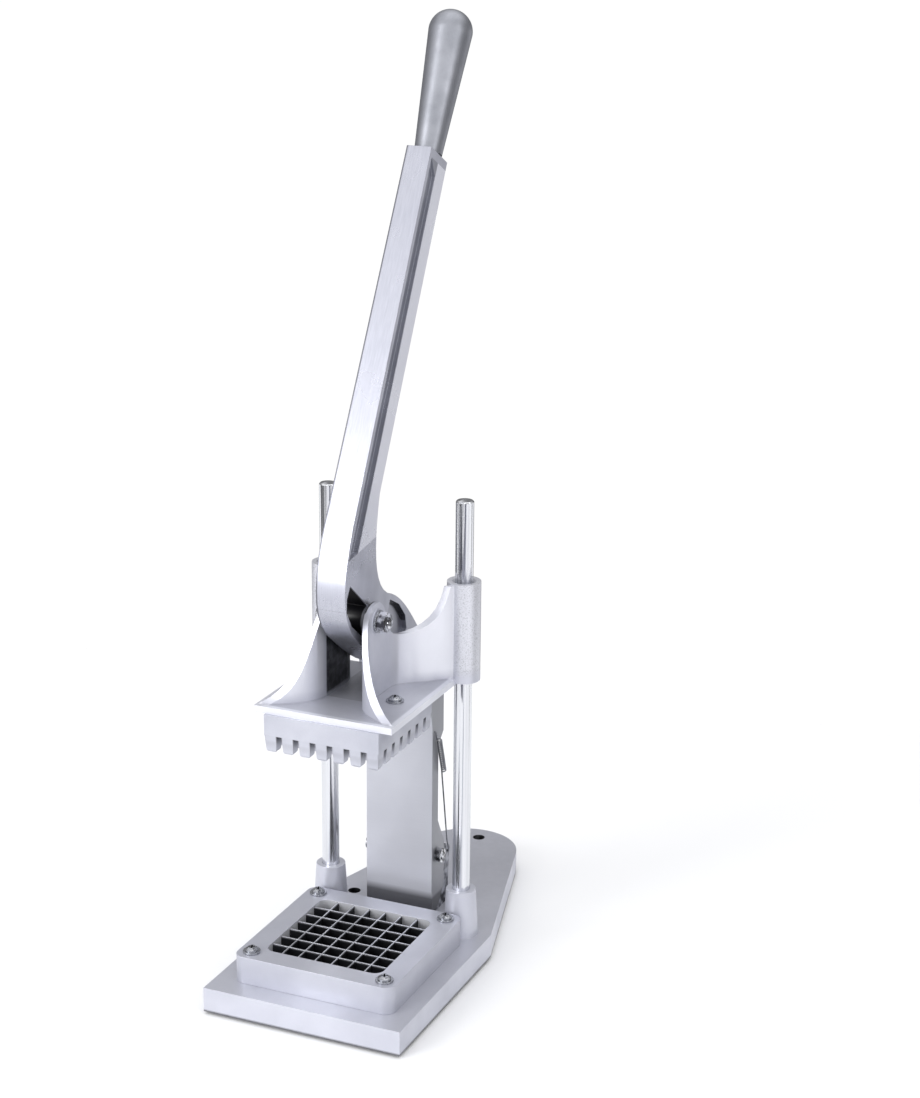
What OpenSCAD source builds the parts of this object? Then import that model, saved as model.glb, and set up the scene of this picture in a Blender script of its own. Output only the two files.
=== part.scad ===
// Lever-operated french fry cutter. Millimetres, +Z up, front towards -Y.
// The origin is the middle of the base's underside.
// Side-view places are (y, z) pairs whose y counts from the middle of the knife grid.

/* [Base] */
// Width of the base over its straight sides
base_w = 150; // [146:1:170]
// Length of the base from front edge to round tail
base_len = 325; // [320:1:345]
// Height of the base
base_h = 18; // [16:0.5:21]
// Thickness of the top and the skirt of the hollow casting
base_wall = 6; // [4:0.5:7]
// Length of the straight sides, from the front edge
base_straight = 157; // [150:1:165]
// Radius of the round tail
tail_r = 39; // [34:0.5:42]
// Distance from the front edge to the middle of the knife grid
knife_setback = 78; // [77:0.5:80]
// Radius of the bench bolt holes
bench_hole_r = 4.5; // [3.5:0.1:5]
// Half the distance between the two front bench bolt holes
bench_hole_x = 47.6; // [45:0.5:49]
// Distance of the front bench bolt holes behind the knife grid
bench_hole_y = 104; // [103:0.5:107]
// Distance of the tail bolt hole from the tail's end
tail_hole_in = 15; // [13:0.5:20]

/* [Knife grid] */
// Clear opening that the potato passes through
opening = 88.9; // [88:0.1:91]
// Corner radius of the opening
opening_r = 7; // [5:0.5:8]
// Cells along each side of the grid
cells = 7; // [5:1:9]
// Thickness of a blade
blade_t = 1; // [0.6:0.1:1.4]
// Height of a blade
blade_h = 19; // [15:0.1:19]
// How far a blade's end reaches past the opening
blade_tail = 3.8; // [2.5:0.1:4.5]
// Width over the square knife frame
frame_w = 122; // [118:1:126]
// Height of the knife frame
frame_h = 20.2; // [19:0.1:23]
// Radius of the frame's upright corners
frame_r = 8; // [6:0.5:10]
// Half the distance between the frame screws
frame_screw_x = 51; // [50.5:0.1:52]

/* [Guide rods] */
// Radius of a rod
rod_r = 6.35; // [6:0.05:6.6]
// Half the distance between the rods
rod_x = 52.6; // [51.5:0.1:53.5]
// Distance of the rods behind the knife grid
rod_y = 75; // [74.6:0.1:76]
// Height of a rod's top above the bench
rod_top = 345; // [335:1:360]
// Height of a socket's mouth above the bench
socket_top = 53; // [46:0.5:58]
// Outer radius of a socket at its foot
socket_foot_r = 13; // [12:0.1:13.5]
// Outer radius of a socket at its mouth
socket_mouth_r = 10.7; // [10:0.1:11.5]

/* [Head] */
// Height of the head plate's top at rest
head_z = 218.3; // [217.5:0.1:219.5]
// Thickness of the head plate
plate_t = 4.8; // [4:0.1:5.5]
// Width of the head plate
plate_w = 103; // [101:0.5:105]
// Distance of the plate's front edge before the knife grid's middle
plate_front = 41; // [40:0.5:43]
// Distance of the plate's rear edge behind it
plate_rear = 66; // [63:0.5:68]
// Thickness of the two curved webs
web_t = 3.8; // [3.4:0.1:5]
// Distance from the middle plane to the middle of a web at the pivot
web_x = 16; // [15.8:0.1:16.6]
// Outer radius of a sleeve
sleeve_r = 12; // [11:0.1:12.5]
// Height of the sleeves' tops
sleeve_top = 287; // [284:0.5:290]
// Height of the sleeves' lower ends
sleeve_foot = 214.5; // [211:0.5:216]

/* [Pusher] */
// Width of the finger block
pusher_w = 85.8; // [84:0.1:87]
// Depth of the solid part of the block
pusher_h = 14.8; // [13:0.1:16]
// Length of a finger
finger_h = 12.5; // [10:0.5:13]
// Width of a finger at its root
finger_root = 9.2; // [8:0.1:9.8]
// Width of a finger at its tip
finger_tip = 7.4; // [6:0.1:8]
// Rounding of a finger's tip
finger_r = 2.4; // [1:0.1:2.8]
// Distance of the pusher screws from the middle plane
pusher_screw_x = 32; // [30:0.5:35]
// Distance of the pusher screws behind the grid's middle
pusher_screw_y = 6; // [2:0.5:12]

/* [Lever] */
// Place of the lever's pivot on the head
pivot = [8, 273];
// Place of the pivot between the lever's heel and the link
heel = [86, 220];
// Width of the lever
lever_w = 21.8; // [20:0.1:22.5]
// Width of the lever at the arm's top
arm_top_w = 18.4; // [17:0.1:20]
// Depth of the arm from its front face to its back
arm_d = 30; // [28:0.5:32]
// Backward lean of the arm from upright, in degrees
arm_lean = 28.1; // [27:0.1:29]
// Front top corner of the arm
arm_top = [112, 579.5];
// Thickness of the arm's front flange
front_flange = 4; // [3:0.1:5]
// Width of the groove in the arm's sides
groove_w = 11; // [9:0.5:13]
// Depth of the groove in the arm's sides
groove_d = 4; // [2.5:0.1:5]
// Width of the lever across its pivot hub
hub_w = 26.8; // [26.4:0.1:26.8]
// Radius of the pivot hub
hub_r = 9.5; // [8:0.1:11]
// Radius of the heel
heel_r = 19; // [17:0.1:19.5]

/* [Grip] */
// Length of the grip
grip_len = 102.6; // [85:0.2:115]
// Radius of the grip where it meets the arm
grip_foot_r = 9.8; // [8.5:0.1:10.4]
// Radius of the grip's round end
grip_end_r = 15.4; // [13:0.1:17]
// Backward lean of the grip from upright, in degrees
grip_lean = 24.8; // [24:0.1:28]
// Radius of the stud that joins grip and arm
stud_r = 4; // [3:0.1:4.5]
// Length of the stud in the arm, and again in the grip
stud_reach = 26; // [18:1:32]

/* [Link] */
// Place of the link's pivot in the bracket
link_foot = [90, 68];
// Width over the U-shaped link
link_w = 52.8; // [52:0.1:54]
// Thickness of the link's sheet
link_t = 2.5; // [2:0.1:3]
// Distance of the link's front face behind the knife grid
link_front = 82; // [81:0.1:83]
// Depth of the link's sides between the wide ends
link_d = 10; // [9:0.5:12]
// Height of the link's lower edge
link_low = 25; // [24.5:0.5:28]
// Height where the link's front wall ends
link_web_top = 171; // [164:0.5:173]
// Height where the link's sides widen into its ears
ear_low = 157; // [150:0.5:160]
// Distance of the ears' back edge behind the knife grid
ear_back = 101; // [99:0.5:104]
// Depth of the link's sides at its foot
foot_d = 21; // [19:0.5:22]
// Radius of the ears' round ends
ear_r = 16; // [14:0.5:17]
// Radius of the bracket's ears round the link's pivot
bracket_r = 7; // [6.2:0.1:7.1]
// Reach of the bracket's ears behind the link's pivot
bracket_aft = 33; // [31:0.5:35]
// Thickness of the bracket's ears
bracket_t = 3.6; // [3:0.1:4]
// Thickness of the bracket's foot
bracket_foot_t = 3.6; // [3:0.1:3.8]
// Distance of the bracket's screws from the middle plane
bracket_screw_x = 12; // [10:0.5:13]

/* [Springs] */
// Radius of the spring wire
wire_r = 0.55; // [0.4:0.05:0.6]
// Mean radius of the coils
coil_r = 1.7; // [1.6:0.05:2]
// Rise of one curl
coil_pitch = 1.9; // [1.8:0.05:2.2]
// Number of curls
curls = 15; // [10:1:17]
// Place of the spring's upper hole in the link
spring_top = [85.5, 166];
// Place of the spring's lower hole in the bracket
spring_foot = [119, 58];

/* [Fasteners and fits] */
// Radius of the pivot bolts
bolt_r = 4; // [3.5:0.05:4.2]
// Radius of the link's bolt
link_bolt_r = 3; // [2.8:0.1:3.2]
// Distance across the flats of a bolt head or nut
hex_w = 13; // [12:0.1:14]
// Thickness of a bolt head or nut
hex_h = 6; // [5:0.1:6.5]
// Radius of a washer
washer_r = 8; // [7.2:0.1:8.4]
// Thickness of a washer
washer_t = 1.4; // [1:0.1:1.8]
// Radius of the machine screws
screw_r = 3; // [2.5:0.05:3.2]
// Radius of a machine screw's head
screw_head_r = 4.7; // [4.2:0.1:5]
// Height of a machine screw's head
screw_head_h = 2.7; // [2.4:0.1:3]
// Radius of a machine screw's washer
screw_washer_r = 6.2; // [5.4:0.1:7]
// Radial gap between a shaft and the hole that it turns or slides in
run_gap = 0.08; // [0.02:0.01:0.1]
// Gap between faces that pass each other
side_gap = 0.3; // [0.2:0.05:0.5]
// Gap around a blade in its slots
slot_gap = 0.15; // [0.1:0.05:0.25]

/* [Hidden] */
$fn = 64;

eps = 0.01;
cut = 200;
fine = 0.02;
knife_y = knife_setback - base_len / 2;
pitch = opening / cells;
frame_top = base_h + frame_h;
blade_z = base_h + 0.1;
blade_len = opening + 2 * blade_tail;
rod_foot = 3;
plate_z = head_z - plate_t;
finger_z = plate_z - pusher_h - finger_h;
web_in = web_x - web_t / 2;
web_out = web_x + web_t / 2;
boss_t = 0.6;
boss_face = web_out + boss_t;
arm_dir = [sin(arm_lean), cos(arm_lean)];
arm_back = [cos(arm_lean), -sin(arm_lean)];
grip_dir = [sin(grip_lean), cos(grip_lean)];
grip_seat = arm_top + arm_back * arm_d * 0.54;
link_in = link_w / 2 - link_t;
ear_x = link_w / 2;
bracket_out = link_in - side_gap - washer_t;
bracket_in = bracket_out - bracket_t;
screw_rows = [-1, 1];
spring_x = ear_x + wire_r + coil_r + 0.35;

// ---------- helpers ----------

// Draws a (y, z) outline as a slab of the given width about the middle plane
module side_slab(width) {
    translate([-width / 2, 0, 0])
        rotate([90, 0, 90])
            linear_extrude(width) children();
}

// A round bar along X through the place at = (y, z), from x = low to x = high
module cross_bar(at, r, low, high) {
    translate([low, at[0], at[1]])
        rotate([0, 90, 0])
            cylinder(r = r, h = high - low);
}

// A hexagon along X with chamfered corners, standing on the plane x = low
module cross_hex(at, low, size = 1) {
    translate([low, at[0], at[1]])
        rotate([0, 90, 0])
            intersection() {
                cylinder(d = size * hex_w / cos(30), h = size * hex_h, $fn = 6);
                cylinder(r1 = 0.49 * size * hex_w, r2 = (0.49 + 1.7) * size * hex_w,
                    h = size * hex_w);
                translate([0, 0, size * (hex_h - hex_w)])
                    cylinder(r1 = (0.49 + 1.7) * size * hex_w, r2 = 0.49 * size * hex_w,
                        h = size * hex_w);
            }
}

// A square with round corners
module round_square(w, r) {
    square([w, w - 2 * r], center = true);
    square([w - 2 * r, w], center = true);
    for (x = [-1, 1], y = [-1, 1])
        translate([x, y] * (w / 2 - r)) circle(r);
}

// Point at t along the cubic curve through p[0] and p[3]
function bezier(p, t) = p[0] * pow(1 - t, 3) + p[1] * 3 * t * pow(1 - t, 2)
    + p[2] * 3 * t * t * (1 - t) + p[3] * pow(t, 3);
function curve(p, steps, first = 0) = [for (i = [first:steps]) bezier(p, i / steps)];
function arc(c, r, from, to, steps) = [for (i = [0:steps])
    let (a = from + (to - from) * i / steps) c + r * [cos(a), sin(a)]];
function unit(v) = v / norm(v);

// Cross-recessed pan head screw, pointing down, its head's foot at the origin
module pan_screw(shank) {
    recess_w = 1.1;
    recess_d = 1.8;
    rim = 1.2;
    difference() {
        union() {
            cylinder(r = screw_head_r, h = rim);
            translate([0, 0, rim - eps])
                cylinder(r1 = screw_head_r, r2 = screw_head_r - 2, h = screw_head_h - rim);
            translate([0, 0, -shank]) cylinder(r = screw_r, h = shank + eps);
        }
        for (turn = [0, 90])
            rotate([0, 0, turn + 20])
                translate([0, 0, screw_head_h - recess_d / 2])
                    cube([screw_head_r * 1.1, recess_w, recess_d + 2 * eps], center = true);
    }
}

module ring(r_out, r_in, h) {
    difference() {
        cylinder(r = r_out, h = h);
        translate([0, 0, -1]) cylinder(r = r_in, h = h + 2);
    }
}

// ---------- base ----------

tail_c = base_len / 2 - tail_r;
side_end = base_straight - base_len / 2;

// Outline of the base drawn in by the given distance: straight sides, a taper and a round tail
module base_outline(inset) {
    half = base_w / 2 - inset;
    r = tail_r - inset;
    run = [half, side_end] - [0, tail_c];
    reach = norm(run);
    tangent_a = atan2(run[1], run[0]) + acos(r / reach);
    touch = [0, tail_c] + r * [cos(tangent_a), sin(tangent_a)];
    front = inset - base_len / 2;
    polygon([[-half, front], [half, front], [half, side_end], touch,
        [0, tail_c], [-touch[0], touch[1]], [-half, side_end]]);
    translate([0, tail_c]) circle(r);
}

module at_frame_screws() {
    for (x = [-1, 1], y = [-1, 1])
        translate([x * frame_screw_x, knife_y + y * frame_screw_x, 0]) children();
}

module at_rods() {
    for (x = [-1, 1]) translate([x * rod_x, knife_y + rod_y, 0]) children();
}

module at_bench_holes() {
    for (x = [-1, 1]) translate([x * bench_hole_x, knife_y + bench_hole_y, 0]) children();
    translate([0, base_len / 2 - tail_hole_in, 0]) children();
}

bracket_screw_y = link_foot[0] + 14;

module at_bracket_screws() {
    for (x = screw_rows) translate([x * bracket_screw_x, knife_y + bracket_screw_y, 0]) children();
}

module base_plate() {
    pocket_h = base_h - base_wall;
    boss_r = 10;
    color([0.78, 0.79, 0.81])
        difference() {
            union() {
                difference() {
                    linear_extrude(base_h) base_outline(0);
                    translate([0, 0, -1])
                        linear_extrude(pocket_h + 1)
                            difference() {
                                base_outline(base_wall);
                                translate([0, knife_y])
                                    round_square(opening + 2 * base_wall, opening_r + base_wall);
                                for (x = [-1, 1])
                                    translate([x * rod_x, knife_y + rod_y]) circle(socket_foot_r);
                                for (x = [-1, 1], y = [-1, 1])
                                    translate([x * frame_screw_x, knife_y + y * frame_screw_x])
                                        circle(boss_r);
                                for (x = [-1, 1])
                                    translate([x * bench_hole_x, knife_y + bench_hole_y])
                                        circle(boss_r);
                                translate([0, base_len / 2 - tail_hole_in]) circle(boss_r);
                                for (x = screw_rows)
                                    translate([x * bracket_screw_x, knife_y + bracket_screw_y])
                                        circle(boss_r);
                            }
                }
                at_rods()
                    translate([0, 0, base_h - eps])
                        cylinder(r1 = socket_foot_r, r2 = socket_mouth_r,
                            h = socket_top - base_h + eps);
            }
            translate([0, knife_y, -1]) linear_extrude(base_h + 2) round_square(opening, opening_r);
            at_rods() translate([0, 0, rod_foot]) cylinder(r = rod_r + fine, h = cut);
            at_frame_screws() translate([0, 0, base_h - 14]) cylinder(r = screw_r + fine, h = cut);
            at_bracket_screws()
                translate([0, 0, base_h - 12]) cylinder(r = screw_r + fine, h = cut);
            at_bench_holes() translate([0, 0, -1]) cylinder(r = bench_hole_r, h = base_h + 2);
        }
}

module guide_rod(side) {
    chamfer = 0.8;
    color([0.82, 0.83, 0.85])
        translate([side * rod_x, knife_y + rod_y, rod_foot]) {
            cylinder(r = rod_r, h = rod_top - rod_foot - chamfer);
            translate([0, 0, rod_top - rod_foot - chamfer - eps])
                cylinder(r1 = rod_r, r2 = rod_r - chamfer, h = chamfer + eps);
        }
}

// ---------- knife grid ----------

blade_rows = [for (i = [1:cells - 1]) (i - cells / 2) * pitch];

module knife_frame() {
    slot_top = blade_z + blade_h + slot_gap;
    slot_w = blade_t + 2 * slot_gap;
    slot_len = blade_len + 2 * slot_gap;
    color([0.80, 0.81, 0.83])
        translate([0, knife_y, 0])
            difference() {
                translate([0, 0, base_h]) linear_extrude(frame_h) round_square(frame_w, frame_r);
                translate([0, 0, base_h - 1])
                    linear_extrude(frame_h + 2) round_square(opening, opening_r);
                for (row = blade_rows) {
                    translate([-slot_len / 2, row - slot_w / 2, 0])
                        cube([slot_len, slot_w, slot_top]);
                    translate([row - slot_w / 2, -slot_len / 2, 0])
                        cube([slot_w, slot_len, slot_top]);
                }
                for (x = [-1, 1], y = [-1, 1])
                    translate([x * frame_screw_x, y * frame_screw_x, base_h - 1])
                        cylinder(r = screw_r + 0.25, h = frame_h + 2);
            }
}

// One blade along X in the middle of the grid, notched half way from above or from below
module blade(from_above) {
    notch_w = blade_t + 2 * slot_gap;
    notch_h = blade_h / 2 + slot_gap;
    difference() {
        translate([-blade_len / 2, -blade_t / 2, 0]) cube([blade_len, blade_t, blade_h]);
        for (row = blade_rows)
            translate([row - notch_w / 2, -blade_t, from_above ? blade_h - notch_h : -1])
                cube([notch_w, 2 * blade_t, notch_h + 1]);
    }
}

module knives_across() {
    color([0.72, 0.74, 0.77])
        for (row = blade_rows) translate([0, knife_y + row, blade_z]) blade(false);
}

module knives_along() {
    color([0.70, 0.72, 0.75])
        for (row = blade_rows)
            translate([row, knife_y, blade_z]) rotate([0, 0, 90]) blade(true);
}

module frame_screws() {
    color([0.66, 0.67, 0.70])
        at_frame_screws() translate([0, 0, frame_top + washer_t]) pan_screw(frame_h + washer_t + 12);
}

module frame_washers() {
    color([0.76, 0.77, 0.79])
        at_frame_screws() translate([0, 0, frame_top]) ring(screw_washer_r, screw_r + 0.2, washer_t);
}

// ---------- bracket at the link's foot ----------

// One ear of the bracket in side view: it stands inside the link, round the pivot,
// and leans back to the foot and to the spring's hole
module bracket_ear() {
    tail_r = 5;
    tail = [link_foot[0] + bracket_aft - tail_r, spring_foot[1] + 1];
    hull() {
        translate(link_foot + [bracket_r - 5, 0.5]) circle(bracket_r);
        translate(tail) circle(tail_r);
    }
    polygon([link_foot + bracket_r * [-0.15, -0.85], [link_foot[0] + 15, base_h],
        [link_foot[0] + bracket_aft - 3, base_h], tail + [4, -2]]);
}

module link_bracket() {
    fore = 3;
    aft = bracket_aft - 3;
    color([0.72, 0.73, 0.76])
        translate([0, knife_y, 0])
            difference() {
                union() {
                    for (side = [-1, 1])
                        translate([side * (bracket_in + bracket_t / 2), 0, 0])
                            side_slab(bracket_t) bracket_ear();
                    translate([-bracket_out, link_foot[0] + fore, base_h])
                        cube([2 * bracket_out, aft - fore, bracket_foot_t]);
                }
                cross_bar(link_foot, link_bolt_r + fine, -cut, cut);
                cross_bar(spring_foot, wire_r + 0.4, -cut, cut);
                for (x = screw_rows)
                    translate([x * bracket_screw_x, bracket_screw_y, 0])
                        cylinder(r = screw_r + 0.25, h = base_h + bracket_foot_t + 1);
            }
}

module bracket_screws() {
    color([0.62, 0.63, 0.66])
        at_bracket_screws()
            translate([0, 0, base_h + bracket_foot_t]) pan_screw(bracket_foot_t + 10);
}

// A pivot bolt along X with its hexagon head on the left, through a stack of the given half width
module cross_bolt(at, half, end) {
    color([0.74, 0.75, 0.78])
        translate([0, knife_y, 0]) {
            cross_hex(at, -half - hex_h);
            cross_bar(at, bolt_r, -half - eps, half + hex_h + end);
            bolt_tip(at, bolt_r, half + hex_h + end);
        }
}

// Chamfered tip of a bolt along X
module bolt_tip(at, r, low) {
    translate([low - eps, at[0], at[1]])
        rotate([0, 90, 0])
            cylinder(r1 = r, r2 = 0.6 * r, h = 0.3 * r);
}

// The nut on the right end of a bolt of radius r
module cross_nut(at, half, r = bolt_r, size = 1) {
    color([0.70, 0.71, 0.74])
        translate([0, knife_y, 0])
            difference() {
                cross_hex(at, half, size);
                cross_bar(at, r + fine, half - 1, half + hex_h + 1);
            }
}

// A pair of washers, from the plane x = low outwards on both sides
module cross_washers(at, low, r_out = washer_r, r_in = bolt_r + 0.2) {
    color([0.76, 0.77, 0.79])
        translate([0, knife_y, 0])
            for (side = [0, 180])
                rotate([0, 0, side])
                    translate([low, (side == 0 ? 1 : -1) * at[0], at[1]])
                        rotate([0, 90, 0]) ring(r_out, r_in, washer_t);
}

link_stack = ear_x + side_gap;

// The link's bolt has a low round head on the left
module link_bolt() {
    head_h = 2.2;
    color([0.74, 0.75, 0.78])
        translate([0, knife_y, 0]) {
            cross_bar(link_foot, 1.7 * link_bolt_r, -link_stack - head_h, -link_stack);
            cross_bar(link_foot, link_bolt_r, -link_stack - eps, link_stack + link_nut * hex_h + 0.5);
            bolt_tip(link_foot, link_bolt_r, link_stack + link_nut * hex_h + 0.5);
        }
}

link_nut = 0.8;
module link_bolt_nut() { cross_nut(link_foot, link_stack, link_bolt_r, link_nut); }
module link_bolt_washers() {
    cross_washers(link_foot, bracket_out, 1.7 * link_bolt_r, link_bolt_r + 0.2);
}

// ---------- head ----------

web_front = [[plate_w / 2 - 2.5, 3 - plate_front], [30, -27], [web_x, -22], [web_x, 2]];
web_rear = [[web_x, 26], [web_x, 44], [38, 46], [rod_x - 1.6, rod_y - 7]];
web_line = concat(curve(web_front, 12), curve(web_rear, 12));

// Edge of a wall that follows a line of points, the given distance to its left
function beside(line, d) = [for (i = [0:len(line) - 1])
    let (a = line[max(i - 1, 0)], b = line[min(i + 1, len(line) - 1)], t = unit(b - a))
        line[i] + d * [-t[1], t[0]]];
function reversed(list) = [for (i = [len(list) - 1:-1:0]) list[i]];

// Right-hand web in plan, from the plate's front corner past the pivot to the sleeve
module web_plan() {
    polygon(concat(beside(web_line, web_t / 2), reversed(beside(web_line, -web_t / 2))));
}

// Height of the webs in side view: a ramp, the hump at the pivot and the wing to the sleeve
module web_profile() {
    hump = pivot[1] + 13;
    ramp = [[1 - plate_front, head_z - 2], [-20, head_z + 6], [-20, hump - 2], [4, hump]];
    crown = [[4, hump], [16, hump + 2], [21, hump - 8], [25, hump - 20]];
    wing = [[25, hump - 20], [30, hump - 37], [55, hump - 37], [61, sleeve_top - 1]];
    polygon(concat([[1 - plate_front, plate_z]], curve(ramp, 14), curve(crown, 12, 1),
        curve(wing, 12, 1), [[rod_y, sleeve_top - 1], [rod_y, plate_z]]));
}

module head_casting() {
    notch_y = 54;
    mouth_h = 2;
    color([0.80, 0.81, 0.84])
        translate([0, knife_y, 0])
            difference() {
                union() {
                    translate([-plate_w / 2, -plate_front, plate_z])
                        cube([plate_w, plate_front + plate_rear, plate_t]);
                    for (side = [0, 1])
                        mirror([side, 0, 0]) {
                            intersection() {
                                translate([0, 0, plate_z])
                                    linear_extrude(sleeve_top - plate_z) web_plan();
                                side_slab(plate_w + 20) web_profile();
                            }
                            translate([rod_x, rod_y, sleeve_foot])
                                cylinder(r = sleeve_r, h = sleeve_top - sleeve_foot);
                            cross_bar(pivot, washer_r + 1, web_x, boss_face);
                        }
                }
                for (x = [-1, 1])
                    translate([x * rod_x, rod_y, sleeve_foot - 1])
                        cylinder(r = rod_r + run_gap, h = sleeve_top - sleeve_foot + 2);
                for (x = [-1, 1])
                    translate([x * rod_x, rod_y, sleeve_top - mouth_h])
                        cylinder(r1 = rod_r, r2 = rod_r + 1.25 * mouth_h, h = 1.2 * mouth_h);
                cross_bar(pivot, bolt_r + run_gap, -cut, cut);
                translate([side_gap - web_in, notch_y, plate_z - 1])
                    cube([2 * (web_in - side_gap), cut, plate_t + 2]);
                for (x = [-1, 1])
                    translate([x * pusher_screw_x, pusher_screw_y, plate_z - 1])
                        cylinder(r = screw_r + 0.25, h = plate_t + 2);
            }
}

// Comb outline of the finger block in front view: a bar with tapered round-tipped fingers
module comb() {
    translate([-pusher_w / 2, finger_z + finger_h]) square([pusher_w, pusher_h]);
    for (i = [0:cells - 1])
        translate([(i + 0.5 - cells / 2) * pitch, finger_z]) {
            polygon([[-finger_root / 2, finger_h + eps], [-finger_tip / 2, finger_r],
                [finger_tip / 2, finger_r], [finger_root / 2, finger_h + eps]]);
            for (x = [-1, 1]) translate([x * (finger_tip / 2 - finger_r), finger_r]) circle(finger_r);
            translate([finger_r - finger_tip / 2, 0]) square([finger_tip - 2 * finger_r, finger_r + eps]);
        }
}

module pusher_block() {
    color([0.77, 0.78, 0.80])
        translate([0, knife_y, 0])
            difference() {
                intersection() {
                    translate([0, pusher_w / 2, 0]) rotate([90, 0, 0]) linear_extrude(pusher_w) comb();
                    side_slab(pusher_w) comb();
                }
                for (x = [-1, 1])
                    translate([x * pusher_screw_x, pusher_screw_y, plate_z - pusher_h + 3])
                        cylinder(r = screw_r + fine, h = pusher_h);
            }
}

module pusher_screws() {
    color([0.64, 0.65, 0.68])
        for (x = [-1, 1])
            translate([x * pusher_screw_x, knife_y + pusher_screw_y, head_z + pusher_washer_t])
                pan_screw(plate_t + pusher_h - 4);
}

pusher_washer_t = 1;
module pusher_washers() {
    color([0.70, 0.71, 0.73])
        for (x = [-1, 1])
            translate([x * pusher_screw_x, knife_y + pusher_screw_y, head_z])
                ring(screw_washer_r, screw_r + 0.2, pusher_washer_t);
}

lever_stack = boss_face + washer_t;

module lever_bolt() { cross_bolt(pivot, lever_stack, 1.5); }
module lever_bolt_nut() { cross_nut(pivot, lever_stack); }
module lever_bolt_washers() { cross_washers(pivot, boss_face); }

// ---------- lever ----------

// Point s down the arm from its top and d behind its front face
function on_arm(s, d) = arm_top - s * arm_dir + d * arm_back;

arm_len = 252;
hook_curve = [on_arm(arm_len, 0), [pivot[0] - 40, pivot[1] + 42], [pivot[0] - 43, pivot[1] + 8],
    pivot + [-16, -11]];
belly_curve = [pivot + [-16, -11], pivot + [4, -26], pivot + [26, -44], heel + [-24, 3]];
nape_curve = [on_arm(arm_len - 16, arm_d), pivot + [10, 52], pivot + [8, 22],
    pivot + [31, 10]];
rim_curve = [pivot + [31, 10], pivot + [52, 3], pivot + [66, -12],
    heel + (heel_r - 0.4) * [cos(62), sin(62)]];

module lever_outline() {
    polygon(concat([arm_top], curve(hook_curve, 10), curve(belly_curve, 8, 1), [heel],
        reversed(curve(rim_curve, 10, 1)), reversed(curve(nape_curve, 10)), [on_arm(0, arm_d)]));
    translate(heel) circle(heel_r);
}

// Opening through the hook, in front of the pivot hub, which stays joined to the lever behind it
module hook_window() {
    polygon([pivot + [-27, 32], pivot + [-32, 24], pivot + [-32.5, 15], pivot + [-25, 3],
        pivot + [-12, -7], pivot + [4, -18], pivot + [18, -25], pivot + [20, -21],
        pivot + [5, -7], pivot + [8, 3]]);
}

// Hollow in the side of the heel, inside its rim
module heel_hollow() {
    polygon([pivot + [35, 4], pivot + [50, -4], pivot + [60, -15], pivot + [62, -26],
        pivot + [50, -33], pivot + [38, -27], pivot + [28, -12]]);
}

// Front view of the lever: parallel at the hook and heel, narrower towards the arm's top
module arm_taper() {
    low = heel[1] - 2 * heel_r;
    bend = arm_top[1] - arm_len;
    top = arm_top[1] + 1;
    translate([0, cut, 0])
        rotate([90, 0, 0])
            linear_extrude(2 * cut)
                polygon([[-lever_w / 2, low], [lever_w / 2, low], [lever_w / 2, bend],
                    [arm_top_w / 2, top], [-arm_top_w / 2, top], [-lever_w / 2, bend]]);
}

module lever_arm() {
    groove_top = 6;
    groove_foot = arm_len + 37;
    color([0.80, 0.81, 0.84])
        translate([0, knife_y, 0])
            difference() {
                union() {
                    difference() {
                        intersection() {
                            side_slab(lever_w) lever_outline();
                            arm_taper();
                        }
                        for (side = [-1, 1])
                            translate([side * lever_w / 2, 0, 0]) {
                                side_slab(2 * groove_d)
                                    polygon([on_arm(groove_top, front_flange),
                                        on_arm(groove_foot, front_flange),
                                        on_arm(groove_foot - 8, front_flange + groove_w),
                                        on_arm(groove_top + 10, front_flange + groove_w)]);
                                side_slab(2 * groove_d) heel_hollow();
                            }
                        side_slab(lever_w + 2) difference() {
                            hook_window();
                            translate(pivot) circle(hub_r - 0.5);
                        }
                    }
                    cross_bar(pivot, hub_r, -hub_w / 2, hub_w / 2);
                }
                cross_bar(pivot, bolt_r + run_gap, -cut, cut);
                cross_bar(heel, bolt_r + fine, -cut, cut);
                translate([0, grip_seat[0], grip_seat[1]])
                    rotate([-grip_lean, 0, 0])
                        translate([0, 0, -stud_reach - 1])
                            cylinder(r = stud_r + fine, h = stud_reach + 20);
            }
}

// Places its children at the arm's top, with +Z along the grip
module at_grip() {
    translate([0, knife_y + grip_seat[0], grip_seat[1]]) rotate([-grip_lean, 0, 0]) children();
}

module grip() {
    lift = grip_foot_r * tan(arm_lean - grip_lean) + 0.1;
    ball_z = lift + grip_len - grip_end_r;
    color([0.62, 0.64, 0.68])
        at_grip()
            difference() {
                union() {
                    translate([0, 0, lift])
                        cylinder(r1 = grip_foot_r, r2 = grip_end_r, h = ball_z - lift);
                    translate([0, 0, ball_z]) sphere(grip_end_r);
                }
                translate([0, 0, -1]) cylinder(r = stud_r + fine, h = stud_reach + 2);
            }
}

module grip_stud() {
    color([0.6, 0.6, 0.62])
        at_grip() translate([0, 0, -stud_reach]) cylinder(r = stud_r, h = 2 * stud_reach);
}

heel_stack = ear_x + side_gap;

module heel_bolt() { cross_bolt(heel, heel_stack, 1.5); }
module heel_bolt_nut() { cross_nut(heel, heel_stack); }

module heel_spacers() {
    spacer_r = 7;
    spacer_len = link_in - side_gap - lever_w / 2;
    color([0.70, 0.71, 0.74])
        translate([0, knife_y, 0])
            for (side = [-1, 1])
                translate([side * (lever_w / 2 + spacer_len / 2), heel[0], heel[1]])
                    rotate([0, 90, 0])
                        translate([0, 0, -spacer_len / 2])
                            ring(spacer_r, bolt_r + fine, spacer_len);
}

// ---------- link ----------

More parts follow.
